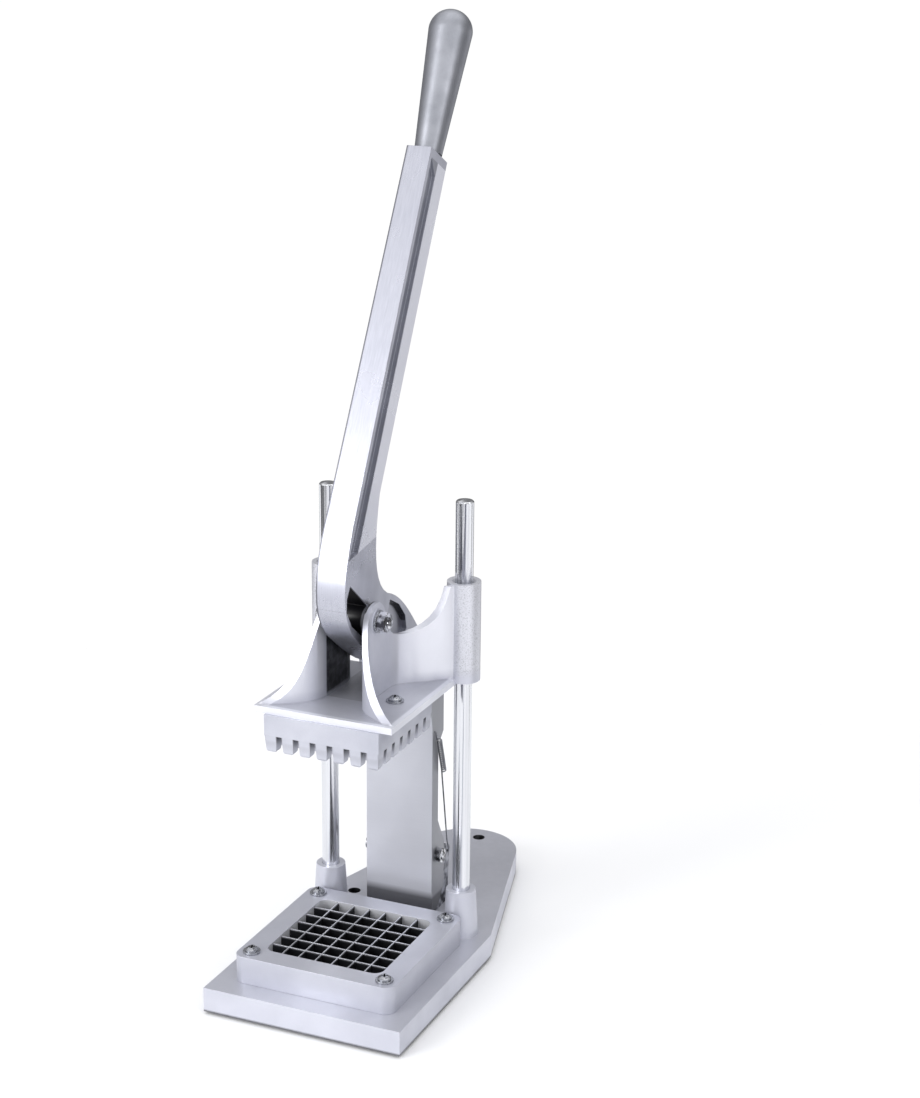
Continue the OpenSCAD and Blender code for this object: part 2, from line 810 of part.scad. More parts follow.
// Side of the link in side view, without its holes
module link_side() {
    back = link_front + link_d;
    wide = link_front + foot_d;
    corner_r = 5;
    polygon([[link_front, link_low], [back, link_low], [wide, link_low + 0.65 * foot_d],
        [wide, link_low + 2.35 * foot_d], [back, link_low + 3.3 * foot_d],
        [back, ear_low + eps], [link_front, ear_low + eps]]);
    polygon([[link_front, ear_low], [ear_back - corner_r, ear_low], [ear_back, ear_low + corner_r],
        [ear_back, heel[1] - 2], heel + ear_r * [cos(60), sin(60)],
        heel + ear_r * [cos(120), sin(120)], heel + ear_r * [cos(200), sin(200)],
        [link_front, link_web_top]]);
    translate(heel) circle(ear_r);
}

// Slot from the heel bolt's seat out through the ear's back edge
module ear_slot() {
    seat_r = bolt_r + run_gap;
    translate(heel) {
        circle(seat_r);
        polygon([[0, -seat_r], [40, -seat_r], [40, seat_r + 9], [18, seat_r + 6.5], [0, seat_r]]);
    }
}

module link_channel() {
    color([0.78, 0.79, 0.82])
        translate([0, knife_y, 0])
            difference() {
                union() {
                    for (side = [-1, 1])
                        translate([side * (ear_x - link_t / 2), 0, 0])
                            side_slab(link_t) link_side();
                    translate([-ear_x, link_front, link_low])
                        cube([2 * ear_x, link_t, link_web_top - link_low]);
                }
                side_slab(cut) ear_slot();
                cross_bar(link_foot, link_bolt_r + run_gap, -cut, cut);
                cross_bar(spring_top, wire_r + 0.4, -cut, cut);
            }
}

// ---------- springs ----------

// The spring is a tube along a line: in through the link's hole, down in curls,
// down in a straight leg and in through the bracket's hole
wire_sides = 6;
curl_rings = 8;
spring_run = spring_foot - spring_top;
spring_dir = [0, unit(spring_run)[0], unit(spring_run)[1]];
spring_side = [0, -spring_dir[2], spring_dir[1]];
bend = 1.2;
hook_in = link_in - 2.2;
leg_in = bracket_in - 1.2;
coil_start = 7;
hook_at = [hook_in, spring_top[0], spring_top[1]];
leg_at = [leg_in, spring_foot[0], spring_foot[1]];
out_x = [1, 0, 0];
coil_axis = [spring_x, spring_top[0], spring_top[1]];

function curl_point(i) = let (a = 360 * i / curl_rings)
    coil_axis + spring_dir * (coil_start + coil_pitch * i / curl_rings)
        - coil_r * cos(a) * out_x + coil_r * sin(a) * spring_side;
function corner(at, from, to) = [for (a = [15:30:75])
    at + bend * (1 - sin(a)) * from + bend * (1 - cos(a)) * to];

hook_x = spring_x - coil_r - hook_in;
leg_x = bracket_out + wire_r + 0.6 - leg_in;
spring_line = concat(
    [hook_at, hook_at + 0.5 * hook_x * out_x],
    corner(hook_at + hook_x * out_x, -out_x, spring_dir),
    [hook_at + hook_x * out_x + spring_dir * (coil_start - 2)],
    [for (i = [0:curls * curl_rings]) curl_point(i)],
    [leg_at + leg_x * out_x - spring_dir * 12, leg_at + leg_x * out_x - spring_dir * 4],
    reversed(corner(leg_at + leg_x * out_x, -out_x, -spring_dir)),
    [leg_at + 0.5 * leg_x * out_x, leg_at]);

function headings(line) = [for (i = [0:len(line) - 1])
    unit(line[min(i + 1, len(line) - 1)] - line[max(i - 1, 0)])];
function squared(n, t) = unit(n - (n * t) * t);
function sides_of(t) = [for (i = 0, n = squared([0.1, 1, 0.3], t[0]); i < len(t);
    i = i + 1, n = i < len(t) ? squared(n, t[i]) : n) n];

// Least distance between the wire's surfaces at points that are not neighbours along it
function least_gap(line, skip) = min([for (i = [0:len(line) - skip - 1], j = [i + skip:len(line) - 1])
    norm(line[i] - line[j])]) - 2 * wire_r;
echo(spring_gap_to_itself = least_gap(spring_line, 5));

module tube(line, r, sides) {
    t = headings(line);
    n = sides_of(t);
    rings = len(line);
    points = [for (i = [0:rings - 1], k = [0:sides - 1]) let (a = 360 * k / sides)
        line[i] + r * cos(a) * n[i] + r * sin(a) * cross(t[i], n[i])];
    walls = [for (i = [0:rings - 2], k = [0:sides - 1])
        let (a = i * sides + k, b = i * sides + (k + 1) % sides) each [[a, a + sides, b],
            [b, a + sides, b + sides]]];
    caps = [for (k = [1:sides - 2]) each [[0, k, k + 1],
        [(rings - 1) * sides, (rings - 1) * sides + k + 1, (rings - 1) * sides + k]]];
    polyhedron(points, concat(walls, caps));
}

module spring(side) {
    color([0.68, 0.69, 0.72])
        translate([0, knife_y, 0])
            mirror([side < 0 ? 1 : 0, 0, 0]) tube(spring_line, wire_r, wire_sides);
}

// ---------- the parts ----------

base_plate();
guide_rod(-1);  // guide_rod_left
guide_rod(1);  // guide_rod_right
knife_frame();
knives_across();
knives_along();
frame_screws();
frame_washers();
link_bracket();
bracket_screws();
link_bolt();
link_bolt_nut();
link_bolt_washers();
head_casting();
pusher_block();
pusher_screws();
pusher_washers();
lever_bolt();
lever_bolt_nut();
lever_bolt_washers();
lever_arm();
grip();
grip_stud();
heel_bolt();
heel_bolt_nut();
heel_spacers();
link_channel();
spring(-1);  // spring_left
spring(1);  // spring_right
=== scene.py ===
import math

import bpy
from mathutils import Matrix, Vector


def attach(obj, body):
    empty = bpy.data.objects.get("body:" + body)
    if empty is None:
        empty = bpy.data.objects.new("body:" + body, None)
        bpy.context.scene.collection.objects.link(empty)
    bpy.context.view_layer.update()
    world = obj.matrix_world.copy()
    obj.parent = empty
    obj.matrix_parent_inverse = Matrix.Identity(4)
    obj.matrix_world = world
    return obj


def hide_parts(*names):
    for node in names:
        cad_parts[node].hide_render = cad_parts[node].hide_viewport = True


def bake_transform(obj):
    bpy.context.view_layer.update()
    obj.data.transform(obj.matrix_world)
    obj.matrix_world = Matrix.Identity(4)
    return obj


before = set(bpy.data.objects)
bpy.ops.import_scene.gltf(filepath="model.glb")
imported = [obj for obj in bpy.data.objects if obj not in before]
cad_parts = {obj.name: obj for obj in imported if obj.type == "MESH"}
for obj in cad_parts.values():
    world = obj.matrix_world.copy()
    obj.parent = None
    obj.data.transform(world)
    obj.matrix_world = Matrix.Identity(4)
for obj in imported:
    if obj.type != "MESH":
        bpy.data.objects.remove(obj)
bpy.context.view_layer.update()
bpy.ops.object.select_all(action="DESELECT")

# ---------------------------------------------------------------- camera, floor and light
# The cutter stands on a plain pale floor in soft light, seen from the right and a little above,
# with the lever raised.
camera_place = Vector((0.65869, -1.41666, 0.78889))
camera_turn = math.radians(23.42)
camera_dip = math.radians(17.36)
camera_roll = math.radians(0.57)
focal_length_in_pixels = 2321.99
picture_height_in_pixels = 1098
film_height = 36

bpy.ops.object.camera_add(location=camera_place)
camera = bpy.context.object
camera.name = "camera"
camera.rotation_euler = (
    Matrix.Rotation(camera_turn, 3, "Z")
    @ Matrix.Rotation(math.radians(90) - camera_dip, 3, "X")
    @ Matrix.Rotation(camera_roll, 3, "Z")
).to_euler()
camera.data.sensor_fit = "VERTICAL"
camera.data.sensor_height = film_height
camera.data.lens = film_height * focal_length_in_pixels / picture_height_in_pixels
camera.data.clip_end = 60
bpy.context.scene.camera = camera
bpy.context.scene.view_settings.view_transform = "Standard"


class Finish:
    """One socket among a finish's nodes. Sums, products and the like written on it add Math
    nodes: a | b is the larger of the two."""

    def __init__(self, tree, socket=None):
        self.tree, self.socket = tree, socket

    def node(self, kind, settings=(), sockets=(), out=0):
        made = self.tree.nodes.new(kind)
        for name, value in dict(settings).items():
            if name == "stops":
                marks = made.color_ramp.elements
                while len(marks) < len(value):
                    marks.new(1.0)
                for mark, (place, shade) in zip(marks, value):
                    mark.position, mark.color = place, (*shade, 1.0)
            else:
                setattr(made, name, value)
        for name, value in dict(sockets).items():
            if isinstance(value, Finish):
                self.tree.links.new(value.socket, made.inputs[name])
            else:
                made.inputs[name].default_value = value
        return Finish(self.tree, made.outputs[out] if len(made.outputs) else None)

    def maths(self, operation, a, b=0.0):
        return self.node("ShaderNodeMath", {"operation": operation}, {0: a, 1: b})

    def __add__(self, other):
        return self.maths("ADD", self, other)

    def __sub__(self, other):
        return self.maths("SUBTRACT", self, other)

    def __rsub__(self, other):
        return self.maths("SUBTRACT", other, self)

    def __mul__(self, other):
        return self.maths("MULTIPLY", self, other)

    def __or__(self, other):
        return self.maths("MAXIMUM", self, other)

    def __abs__(self):
        return self.maths("ABSOLUTE", self)

    __radd__, __rmul__, __ror__ = __add__, __mul__, __or__

    def place(self):
        return self.node("ShaderNodeTexCoord", out=3)

    def split(self, vector):
        """A vector's three coordinates."""
        parts = self.node("ShaderNodeSeparateXYZ", {}, {0: vector}).socket.node
        return [Finish(self.tree, parts.outputs[i]) for i in range(3)]

    def axes(self):
        """The place's three coordinates, in metres in the cutter's own frame."""
        return self.split(self.place())

    def near(self, middle, half, soft):
        """1 where the value lies within half of the middle, fading to 0 over soft."""
        return abs(self - middle).level(half, half + soft, 1.0, 0.0)

    def stretched(self, scale):
        return self.node("ShaderNodeMapping", {}, {"Vector": self.place(), "Scale": scale})

    def grain(self, scale, detail=3.0, along=None):
        where = self.place() if along is None else along
        return self.node("ShaderNodeTexNoise", {},
                         {"Vector": where, "Scale": scale, "Detail": detail})

    def ramp(self, stops):
        return self.node("ShaderNodeValToRGB", {"stops": stops}, {"Fac": self})

    def level(self, low, high, to_low, to_high):
        return self.node("ShaderNodeMapRange", {"clamp": True},
                         {"Value": self, "From Min": low, "From Max": high,
                          "To Min": to_low, "To Max": to_high})

    def blended(self, a, b):
        return self.node("ShaderNodeMix", {"data_type": "RGBA"}, {0: self, 6: a, 7: b}, out=2)

    def bump(self, depth, strength=1.0):
        return self.node("ShaderNodeBump", {},
                         {"Height": self, "Distance": depth, "Strength": strength})


def new_finish(name):
    """An empty material: the finish to start its nodes from, and the material."""
    material = bpy.data.materials.new(name)
    material.use_nodes = True
    material.node_tree.nodes.clear()
    return Finish(material.node_tree), material


def surface(start, sockets):
    """Ends a finish in one Principled shader with these sockets."""
    shader = start.node("ShaderNodeBsdfPrincipled", {}, sockets)
    start.node("ShaderNodeOutputMaterial", {}, {"Surface": shader})


floor_width = 1.1
floor_drop = 0.0020
bpy.ops.mesh.primitive_plane_add(size=floor_width, location=(0, 0, -floor_drop))
floor = bpy.context.object
floor.name = "floor"
start, pale_floor = new_finish("pale_floor")
surface(start, {"Base Color": (0.93, 0.935, 0.945, 1), "Roughness": 0.8})
floor.data.materials.append(pale_floor)

# The room is a ring of lighter and darker walls under a plainer band and a bright ceiling,
# for the metal to mirror. Straight behind the cutter only plain white is seen.
ceiling_white = (1.15, 1.15, 1.16, 1)
plain_white = (1.02, 1.02, 1.02, 1)


def shades_around(way_round, blue, stops):
    """Greys at these parts of a turn, with their blue raised a little."""
    return way_round.ramp([(turn, (shade, shade, shade * blue)) for turn, shade in stops])


sky = bpy.data.worlds.new("soft_room")
sky.use_nodes = True
sky.node_tree.nodes.clear()
room = Finish(sky.node_tree)
way_x, way_y, way_up = room.split(room.node("ShaderNodeTexCoord", out=0))
around = room.maths("ARCTAN2", way_y, way_x).level(-math.pi, math.pi, 0.0, 1.0)
walls = shades_around(around, 1.03, (
    (0.0, 0.40), (0.06, 0.95), (0.20, 1.15), (0.31, 0.95), (0.37, 1.00), (0.42, 1.40), (0.47, 0.90),
    (0.52, 0.20), (0.59, 0.22), (0.645, 0.70), (0.72, 0.65), (0.75, 0.08), (0.90, 0.08),
    (0.95, 0.30)))
upper = shades_around(around, 1.02, (
    (0.0, 0.30), (0.08, 0.80), (0.20, 1.00), (0.38, 1.30), (0.46, 0.80), (0.54, 0.25), (0.66, 0.22),
    (0.95, 0.22)))
ceiling = way_up.level(0.45, 0.75, 0, 1).blended(upper, ceiling_white)
lit = way_up.level(0.0, 0.10, 0, 1).blended(walls, ceiling)
seen = room.node("ShaderNodeLightPath")
back = room.node("ShaderNodeBackground", {},
                 {"Color": seen.blended(lit, plain_white), "Strength": 1.0})
room.node("ShaderNodeOutputWorld", {}, {"Surface": back})
bpy.context.scene.world = sky

lamps_aim = Vector((0, 0, 0.25))
for name, place, size, power in (
    ("window_front", (-1.1, -2.0, 1.0), (1.0, 1.4), 27),
    ("window_right", (1.9, -0.5, 1.2), (0.5, 1.6), 4),
    ("window_above", (0.2, 0.3, 2.6), (1.8, 1.8), 6),
):
    bpy.ops.object.light_add(type="AREA", location=place)
    lamp = bpy.context.object
    lamp.name = name
    lamp.data.shape = "RECTANGLE"
    lamp.data.size, lamp.data.size_y = size
    lamp.data.energy = power
    lamp.rotation_euler = (lamps_aim - Vector(place)).to_track_quat("-Z", "Y").to_euler()


# ---------------------------------------------------------------- base casting
# The base is one sand casting in aluminium, hollow below, with its rod sockets cast on.
# Its faces are tumbled satin, and its edges are softened by the tumbling.
same_point = 0.000004
same_plane = math.radians(0.4)
# A pale tint for painted highlights
highlight_tint = (0.86, 0.87, 0.92, 1)
# Black and dark grey for painted shade, and for the specks on the head's sleeves
shade_and_speck_black = (0.010, 0.010, 0.012, 1)
shade_and_speck_grey = (0.075, 0.077, 0.085, 1)

grid_ahead = 0.0845
well_half = 0.0446
bench_hole_x, bench_hole_y = 0.0476, 0.0195
tail_hole_y = 0.1475
hole_wall, hole_rim = 0.00465, 0.0049
base_top = 0.0180


def eased_copy(node, name, edge, body, cast, corner=28, steps=3):
    """A new piece on a CAD solid's form: loose triangles merged, edges eased, faces smoothed.
    It rides on the body, or on none where no body is given."""
    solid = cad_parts[node]
    bpy.ops.object.select_all(action="DESELECT")
    piece = bpy.data.objects.new(name, solid.data.copy())
    bpy.context.scene.collection.objects.link(piece)
    piece.data.name = name
    piece.data.materials.clear()
    bpy.context.view_layer.objects.active = piece
    piece.select_set(True)
    bpy.ops.object.mode_set(mode="EDIT")
    bpy.ops.mesh.select_all(action="SELECT")
    bpy.ops.mesh.remove_doubles(threshold=same_point)
    bpy.ops.mesh.dissolve_limited(angle_limit=same_plane, use_dissolve_boundaries=False)
    bpy.ops.object.mode_set(mode="OBJECT")
    bpy.ops.object.shade_smooth_by_angle(angle=math.radians(corner))
    if edge:
        ease = piece.modifiers.new("eased_edges", "BEVEL")
        ease.width = edge
        ease.segments = steps
        ease.limit_method = "ANGLE"
        ease.angle_limit = math.radians(corner)
        ease.use_clamp_overlap = True
        ease.harden_normals = True
        bpy.ops.object.modifier_apply(modifier=ease.name)
    piece.data.materials.append(cast)
    if body:
        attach(piece, body)
    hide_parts(node)
    piece.select_set(False)
    return piece


def cast_finish(name, dark, light, rough, pits=0.00012, shade=None, painted_highlight=None):
    """Tumbled cast aluminium: soft clouds of tone, a sandy grain and a little sheen.
    The shade function says where painted shade darkens the casting, from 0 to 1, with the
    specks on the head's sleeves as well, and the second function where a painted highlight brightens
    it."""
    start, material = new_finish(name)
    clouds = start.grain(22.0, 4.0).level(0.36, 0.66, 0.0, 1.0)
    sand = start.grain(900.0, 4.0)
    peel = start.grain(260.0, 2.0)
    tone = (clouds * 0.7 + sand * 0.3).blended((*dark, 1), (*light, 1))
    metal, sheen = 0.5, clouds.level(0, 1, rough + 0.07, rough - 0.05) + sand * 0.06
    # A painted highlight where the second function says
    if painted_highlight:
        tone = painted_highlight(start).blended(tone, highlight_tint)
    # Painted shade in blots of black and dark grey where the shade function says, and the head's
    # sleeve specks
    if shade:
        shade_and_specks = shade(start)
        blots = start.grain(240.0, 5.0).level(0.42, 0.70, 0, 1)
        tone = shade_and_specks.blended(tone, blots.blended(shade_and_speck_black, shade_and_speck_grey))
        metal = shade_and_specks.level(0, 1, metal, 0.15)
    surface(start, {
        "Base Color": tone,
        "Metallic": metal,
        "Roughness": sheen,
        "Normal": (sand * 0.55 + peel * 0.45).bump(pits, 0.55),
    })
    return material


def shade_under_grid(start):
    """Painted shade: dark in the well and in the three bench holes, a painted contact shadow
    along the foot, and a little darker on top towards the tail."""
    x, y, z = start.axes()
    wide, deep = abs(x), y + grid_ahead
    dark = (wide.near(0, well_half, 0.0003) * deep.near(0, well_half, 0.0003)
            * z.level(0.0172, 0.0176, 1, 0))
    for across, along in ((wide - bench_hole_x, y - bench_hole_y), (x, y - tail_hole_y)):
        off_centre = across * across + along * along
        dark = dark | off_centre.level(hole_wall ** 2, hole_rim ** 2, 1, 0)
    foot_contact_shadow = z.level(0.0006, 0.0020, 0.85, 0)
    top_shade = z.near(base_top, 0.0004, 0.0003) * y.level(0.0, 0.110, 0.12, 0.30)
    return dark | foot_contact_shadow | top_shade


base_cast = cast_finish("satin_cast_base", (0.53, 0.54, 0.605), (0.63, 0.64, 0.71), 0.38,
                        shade=shade_under_grid)
base = eased_copy("base_plate", "cast_base", 0.0008, "base", base_cast)

# ---------------------------------------------------------------- guide rods
# Two ground and polished steel rods, fixed in the base's sockets. They carry faint
# lengthwise wear where the sleeves run.
start, rod_polish = new_finish("polished_rod")
wear = start.grain(1.0, 3.0, start.stretched((700, 700, 9)))
surface(start, {
    "Base Color": wear.level(0.3, 0.7, 0, 1).blended((0.68, 0.69, 0.72, 1), (0.82, 0.83, 0.86, 1)),
    "Metallic": 1.0,
    "Roughness": wear.level(0.35, 0.75, 0.12, 0.24),
    "Normal": wear.bump(0.00003, 0.4),
})
for side in ("left", "right"):
    rod = eased_copy("guide_rod_" + side, "rod_" + side, 0, "base", rod_polish)

# ---------------------------------------------------------------- knife frame
# A heavy square ring, cast and tumbled like the base, screwed down over the blades' ends.
# Its inner walls carry a painted highlight.
ring_inside = 0.0450


# Painted highlight on the ring's inner walls
def lit_inner_walls(start):
    x, y, z = start.axes()
    return (x.near(0, ring_inside, 0.0002) * (y + grid_ahead).near(0, ring_inside, 0.0002)
            * z.level(0.0376, 0.0381, 1, 0))


frame_cast = cast_finish("satin_cast_frame", (0.46, 0.47, 0.535), (0.56, 0.57, 0.635), 0.36,
                         painted_highlight=lit_inner_walls)
knife_frame = eased_copy("knife_frame", "cast_frame", 0.0007, "base", frame_cast)

# ---------------------------------------------------------------- blades
# Twelve thin stainless strips, notched into each other, with a ground edge on top.
# Their sides below the edge are darkened with painted shade.
ground_edge_foot, ground_edge_top = 0.0357, 0.0369
start, blade_polish = new_finish("ground_blade")
lines = start.grain(1.0, 2.0, start.stretched((60, 60, 2600)))
x, y, z = start.axes()
tone = lines.level(0.3, 0.7, 0, 1).blended((0.44, 0.45, 0.49, 1), (0.62, 0.63, 0.68, 1))
# Painted shade darkens the blades' sides below the ground edge
shade_below_edge = z.level(ground_edge_foot, ground_edge_top, 0.96, 0)
surface(start, {
    "Base Color": shade_below_edge.blended(tone, (0.018, 0.019, 0.023, 1)),
    "Metallic": 0.8,
    "Roughness": lines.level(0.3, 0.7, 0.28, 0.42),
    "Normal": lines.bump(0.00003, 0.5),
})
for node, name in (("knives_across", "blades_across"), ("knives_along", "blades_along")):
    knives = eased_copy(node, name, 0.00018, "base", blade_polish, steps=1)

# ---------------------------------------------------------------- screws and washers
# Stainless cross-recessed screws on plain washers hold the frame, the finger block
# and the bracket. Their recesses are darkened with painted shade.
recess_half = 0.0025
frame_screw_out = 0.051
plate_screw_x, plate_screw_y = 0.032, 0.006
frame_recess_z, plate_recess_z = 0.04125, 0.22095
start, screw_polish = new_finish("stainless_screw")
scuff = start.grain(1400.0, 3.0)
x, y, z = start.axes()
wide, deep = abs(x), y + grid_ahead
in_frame_screws = (wide.near(frame_screw_out, recess_half, 0.0002)
                   * abs(deep).near(frame_screw_out, recess_half, 0.0002)
                   * z.near(frame_recess_z, 0.0008, 0.0001))
in_plate_screws = (wide.near(plate_screw_x, recess_half, 0.0002)
                   * deep.near(plate_screw_y, recess_half, 0.0002)
                   * z.near(plate_recess_z, 0.0008, 0.0001))
# Painted shade in the screws' cross recesses
recess_shade = in_frame_screws + in_plate_screws
tone = scuff.level(0.35, 0.7, 0, 1).blended((0.26, 0.27, 0.30, 1), (0.50, 0.51, 0.54, 1))
surface(start, {
    "Base Color": recess_shade.blended(tone, (0.006, 0.006, 0.008, 1)),
    "Metallic": recess_shade.level(0, 1, 0.9, 0.0),
    "Roughness": scuff.level(0.3, 0.7, 0.20, 0.36),
    "Normal": scuff.bump(0.00003, 0.5),
})
for node, body in (("frame_screws", "base"), ("bracket_screws", "base"), ("pusher_screws", "head")):
    name = node.removesuffix("screws") + "screw_set"
    screws = eased_copy(node, name, 0.00014, body, screw_polish, steps=2)
for node, body in (("frame_washers", "base"), ("link_bolt_washers", "base"),
                   ("pusher_washers", "head"), ("lever_bolt_washers", "head")):
    name = node.removesuffix("washers") + "washer_set"
    washers = eased_copy(node, name, 0.0003, body, screw_polish, steps=2)

# ---------------------------------------------------------------- bolts and nuts
# Hexagon bolts with domed ends carry the lever, its heel and the link's foot.
# They are bright plated and mirror the room; the hard dark and bright patches in their
# colour are a painted reflection.
start, bolt_plate = new_finish("bright_plated_bolt")
swirl_and_painted_reflection = start.grain(190.0, 2.0)
# Dark and bright patches in the colour are a painted reflection
surface(start, {
    "Base Color": swirl_and_painted_reflection.level(0.40, 0.58, 0, 1).blended((0.09, 0.09, 0.10, 1), (0.74, 0.75, 0.78, 1)),
    "Metallic": 1.0,
    "Roughness": swirl_and_painted_reflection.level(0.3, 0.7, 0.10, 0.24),
    "Normal": swirl_and_painted_reflection.bump(0.00004, 0.5),
})
for bolt_name, body in (("link_bolt", "base"), ("lever_bolt", "head"), ("heel_bolt", "lever")):
    for node in (bolt_name, bolt_name + "_nut"):
        plated = eased_copy(node, node + "_plated", 0.0006, body, bolt_plate)

# ---------------------------------------------------------------- head casting
# Plate, webs, wings and sleeves are one aluminium casting, which slides on the rods.
# Painted shade darkens it between the webs and on the plate's top, its sleeves are specked,
# and a painted highlight brightens the plate's rim, the wings and a web's front edge.
plate_top = 0.2180


def webs_shade_and_sleeve_specks(start):
    """Painted shade, black between the webs and grey on the plate's top, and dark specks on the
    sleeves.
    """
    x, y, z = start.axes()
    wide = abs(x)
    inner = (x.near(0, 0.0150, 0.0005) * y.level(-0.0900, -0.0885, 0, 1)
             * z.level(0.2190, 0.2215, 0.45, 1))
    plate = (z.near(plate_top, 0.0008, 0.0004) * wide.level(0.0465, 0.0480, 0.20, 0)
             * y.level(-0.1220, -0.1205, 0, 1))
    flecks = start.grain(1100.0, 6.0).level(0.50, 0.66, 0, 1)
    sleeve = (wide.level(0.0480, 0.0540, 0, 1) * z.level(0.219, 0.223, 0, 1)
              * flecks.level(0, 1, 0.10, 0.36))
    return inner | plate | sleeve


def rim_and_wing_highlight(start):
    """Painted highlight on the plate's rounded rim, the wings' faces and the left web's front edge."""
    x, y, z = start.axes()
    wide, over_plate = abs(x), z.level(0.219, 0.226, 0, 1)
    sides = wide.level(0.0474, 0.0486, 0, 0.5) * y.level(-0.0230, -0.0215, 1, 0)
    rim = (sides | y.level(-0.1228, -0.1216, 0.5, 0)) * z.level(0.2190, 0.2200, 1, 0)
    wing = wide.level(0.0200, 0.0330, 0, 0.6) * y.level(-0.0600, -0.0450, 0, 1) * over_plate
    web = x.level(-0.006, -0.002, 0.5, 0) * y.level(-0.0935, -0.0905, 1, 0) * over_plate
    return rim | wing | web


head_cast = cast_finish("satin_cast_head", (0.53, 0.54, 0.61), (0.66, 0.67, 0.74), 0.34,
                        shade=webs_shade_and_sleeve_specks, painted_highlight=rim_and_wing_highlight)
head = eased_copy("head_casting", "cast_head", 0.0013, "head", head_cast)

# ---------------------------------------------------------------- finger block
# The block of blunt tapered fingers is cast apart and screwed under the head's plate.
# It is rougher than the head, and painted shade darkens the roots between its fingers.
half_cell = 0.00635
block_half = 0.0420


def shade_between_fingers(start):
    x, y, z = start.axes()
    gaps = [across.maths("PINGPONG", across, half_cell).level(0.0037, 0.0045, 0, 1)
            * across.near(0, block_half, 0.0004) for across in (x, y + grid_ahead)]
    return (gaps[0] | gaps[1]) * z.level(0.1885, 0.1970, 0.05, 0.85) * (
        z.level(0.1985, 0.1990, 1, 0))


pusher_cast = cast_finish("rough_cast_fingers", (0.42, 0.43, 0.49), (0.56, 0.57, 0.63), 0.44, 0.0002,
                          shade=shade_between_fingers)
pusher = eased_copy("pusher_block", "cast_fingers", 0.0004, "head", pusher_cast, steps=2)

# ---------------------------------------------------------------- lever
# One casting from the hook and heel to the top, with a groove in each side. Its face is
# belt-polished bright, and the hook keeps some of the casting's speckle. Painted shade and
# a painted highlight mark its sides, face, hook and window.
pivot_y, pivot_z = -0.0765, 0.273
arm_end_y, arm_end_z = 0.0275, 0.5795
along_arm_y, along_arm_z = 0.4710, 0.8821
groove_slant = 0.727
metal_dark, metal_light = (0.40, 0.41, 0.47, 1), (0.58, 0.59, 0.66, 1)
# Tints for the lever's painted highlight and painted shade
flange_highlight_tint, face_shadow = (0.80, 0.81, 0.88, 1), (0.20, 0.205, 0.24, 1)
groove_shade_dark, edge_shade_dark = (0.10, 0.105, 0.125, 1), (0.05, 0.05, 0.06, 1)
hook_shade_black, window_black = (0.02, 0.02, 0.025, 1), (0.008, 0.008, 0.010, 1)

start, lever_polish = new_finish("polished_lever")
clouds = start.grain(30.0, 4.0).level(0.35, 0.65, 0, 1)
belt = start.grain(1.0, 2.0, start.stretched((1500, 130, 60)))
speck = start.grain(520.0, 5.0).level(0.60, 0.72, 0, 1)
x, y, z = start.axes()
wide, behind, above = abs(x), y - pivot_y, z - pivot_z


def bounded(mask, *sides):
    """The mask inside a polygon on the lever's side. Each side has a slope and two heights
    over the pivot: the mask goes from 0 at the first height to 1 at the second."""
    for slope, outside, inside in sides:
        mask = mask * (above + behind * slope).level(outside, inside, 0, 1)
    return mask


# The face, with light specks on the hook's outer curve
hook_specks = speck * z.near(0.306, 0.012, 0.014) * x.level(-0.004, 0.002, 1, 0)
tone = (clouds * 0.4 + belt * 0.6 - hook_specks * 0.4).blended(metal_dark, metal_light)

# The grooved sides: painted shade in the groove, a painted highlight on the flange behind it
behind_face = (y - arm_end_y) * along_arm_z - (z - arm_end_z) * along_arm_y
up_the_arm = (y - arm_end_y) * along_arm_y + (z - arm_end_z) * along_arm_z
grooved = up_the_arm.level(-0.0064, -0.0060, 1, 0) * (
    (behind_face * groove_slant - up_the_arm).level(0.2916, 0.2920, 1, 0))
flange_highlight = behind_face.level(0.0152, 0.0156, 0, 1) * grooved
groove_shade = behind_face.near(0.0095, 0.0054, 0.0003) * grooved * 0.5
tone = groove_shade.blended(flange_highlight.blended(tone, flange_highlight_tint), groove_shade_dark)

# Painted shade darkens the front face towards the hook, and its left edge all the way
front_face_shade = behind_face.level(0.0006, 0.0012, 1, 0) * z.level(0.300, 0.500, 0.34, 0.10)
tone = (front_face_shade * belt.level(0.3, 0.7, 1.3, 0.7)).blended(tone, face_shadow)
half_width = z.level(0.3275, 0.5805, 0.0109, 0.0092)
left_edge_shade = (x * -1 - half_width).level(-0.0014, -0.0008, 0, 0.75)
tone = left_edge_shade.blended(tone, edge_shade_dark)

# Painted shade in the crescent hollow in the heel's side and under the hook
hollow = bounded(
    wide.level(0.0103, 0.0106, 0.85, 0) * behind.level(0.0275, 0.0280, 0, 1)
    * behind.level(0.0632, 0.0637, 1, 0),
    (0.533, 0.0248, 0.0243), (1.1, 0.0534, 0.0528), (1.5, 0.0272, 0.0278), (0.5, -0.0102, -0.0097))
crescent = ((above + behind * 0.533).level(0.0195, 0.0205, 0.25, 1)
            | (above + behind * 1.1).level(0.0465, 0.0478, 0, 1))
under_hook_shade = z.level(0.258, 0.302, 0.60, 0) * behind.level(-0.012, 0.004, 1, 0) * speck.level(0, 1, 0.65, 1)
tone = (under_hook_shade | hollow * crescent).blended(tone, hook_shade_black)

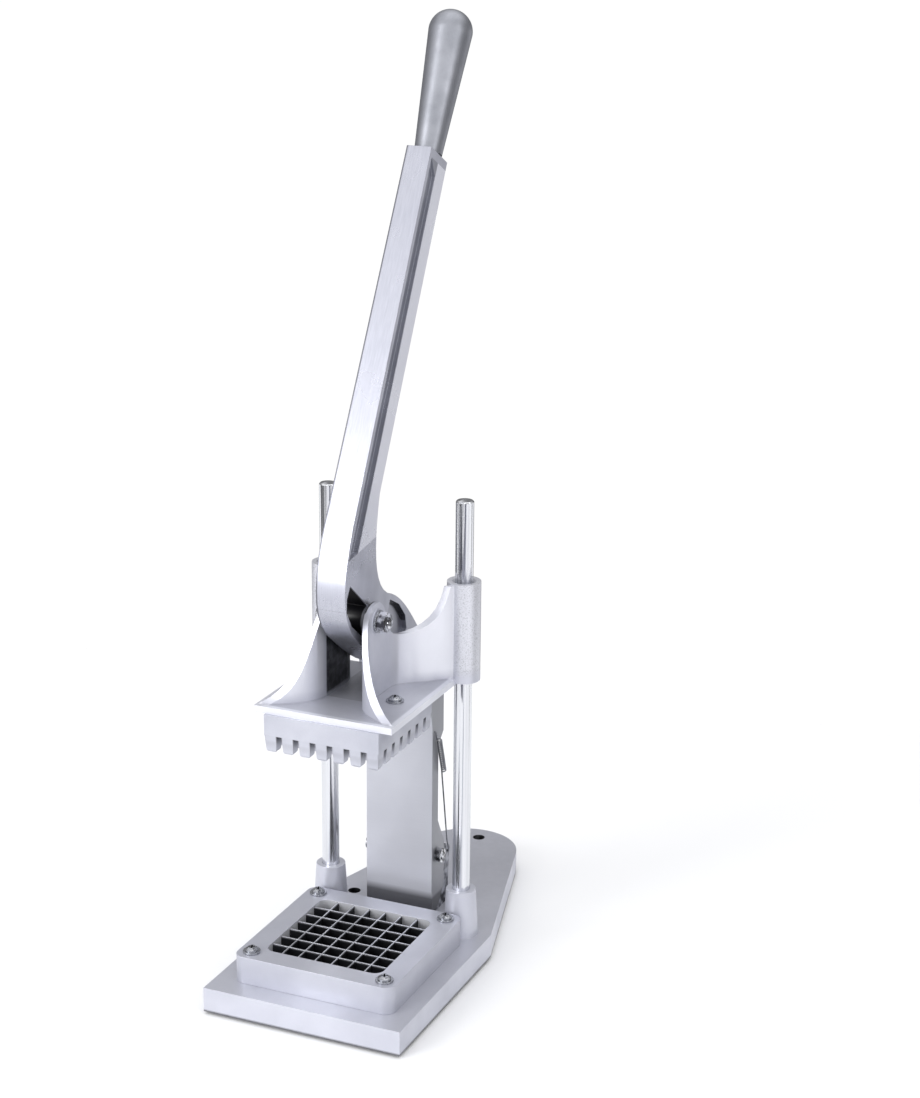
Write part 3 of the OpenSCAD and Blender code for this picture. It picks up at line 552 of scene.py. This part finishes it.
# The window through the hook is black inside with painted shade
window = bounded(
    x.near(0, 0.0096, 0.0003) * behind.level(-0.0338, -0.0332, 0, 1)
    * behind.level(0.0208, 0.0213, 1, 0),
    (0.724, -0.0170, -0.0164), (1.6, -0.0391, -0.0383), (0.829, 0.0111, 0.0106))
surface(start, {
    "Base Color": window.blended(tone, window_black),
    "Metallic": window.level(0, 1, 0.75, 0.0),
    "Roughness": clouds.level(0, 1, 0.34, 0.26) + hook_specks * 0.15,
    "Normal": (belt * 0.4 + hook_specks * 0.4).bump(0.00008, 0.5),
})
lever = eased_copy("lever_arm", "cast_lever", 0.0010, "lever", lever_polish, corner=24, steps=4)

# ---------------------------------------------------------------- grip, stud and spacers
# The grip is a separate tapered casting with a round end, darker and mottled with use, and
# screwed on a hidden stud. The heel's bolt carries two turned spacers.
start, grip_cast = new_finish("mottled_grip")
mottle = start.grain(60.0, 5.0).level(0.30, 0.72, 0, 1)
fine = start.grain(1100.0, 3.0)
surface(start, {
    "Base Color": (mottle * 0.7 + fine * 0.3).blended((0.26, 0.27, 0.30, 1), (0.42, 0.43, 0.47, 1)),
    "Metallic": 0.85,
    "Roughness": mottle.level(0, 1, 0.44, 0.36),
    "Normal": (mottle * 0.5 + fine * 0.5).bump(0.00015, 0.5),
})
grip = eased_copy("grip", "cast_grip", 0, "lever", grip_cast)
for node, name, slot in (("grip_stud", "grip_stud_bar", "stud_steel"),
                         ("heel_spacers", "heel_spacer_pair", "spacer_steel")):
    inner = eased_copy(node, name, 0.0003, "lever", screw_polish, steps=2)

# ---------------------------------------------------------------- link
# The link is a channel folded from plain steel sheet and zinc plated. A painted shadow
# darkens its foot, and painted shade its right side.
start, plated_sheet = new_finish("plated_sheet")
haze = start.grain(14.0, 3.0).level(0.35, 0.65, 0, 1)
roll = start.grain(1.0, 2.0, start.stretched((40, 40, 900)))
x, y, z = start.axes()
link_foot_shadow = z.level(0.0350, 0.0410, 0.80, 0)
right_side_shade = x.level(0.0258, 0.0262, 0, 0.45)
tone = (haze * 0.7 + roll * 0.3).blended((0.52, 0.53, 0.58, 1), (0.60, 0.61, 0.66, 1))
surface(start, {
    "Base Color": (link_foot_shadow | right_side_shade).blended(tone, (0.03, 0.03, 0.035, 1)),
    "Metallic": 0.45,
    "Roughness": haze.level(0, 1, 0.50, 0.42),
    "Normal": roll.bump(0.00003, 0.5),
})
link = eased_copy("link_channel", "folded_link", 0.0006, "link", plated_sheet)

# ---------------------------------------------------------------- bracket
# The link's foot turns in a bracket of the same folded sheet, screwed to the base.
# It has gone dull and blotched.
start, dull_sheet = new_finish("dull_mottled_sheet")
mottle = start.grain(130.0, 5.0).level(0.40, 0.62, 0, 1)
surface(start, {
    "Base Color": mottle.blended((0.035, 0.037, 0.045, 1), (0.42, 0.43, 0.48, 1)),
    "Metallic": 0.8,
    "Roughness": mottle.level(0, 1, 0.55, 0.28),
    "Normal": mottle.bump(0.0003, 0.6),
})
bracket = eased_copy("link_bracket", "folded_bracket", 0.0008, "base", dull_sheet)

# ---------------------------------------------------------------- springs
# Two drawn steel springs, hooked in the link and, by a long leg, in the bracket.
start, drawn_wire = new_finish("drawn_wire")
streak = start.grain(2200.0, 2.0)
surface(start, {
    "Base Color": streak.level(0.3, 0.7, 0, 1).blended((0.12, 0.12, 0.14, 1), (0.38, 0.39, 0.42, 1)),
    "Metallic": 1.0,
    "Roughness": streak.level(0.3, 0.7, 0.18, 0.32),
    "Normal": streak.bump(0.00002, 0.4),
})
for side in ("left", "right"):
    spring = eased_copy("spring_" + side, "wound_spring_" + side, 0, None, drawn_wire, corner=80)
    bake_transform(spring)
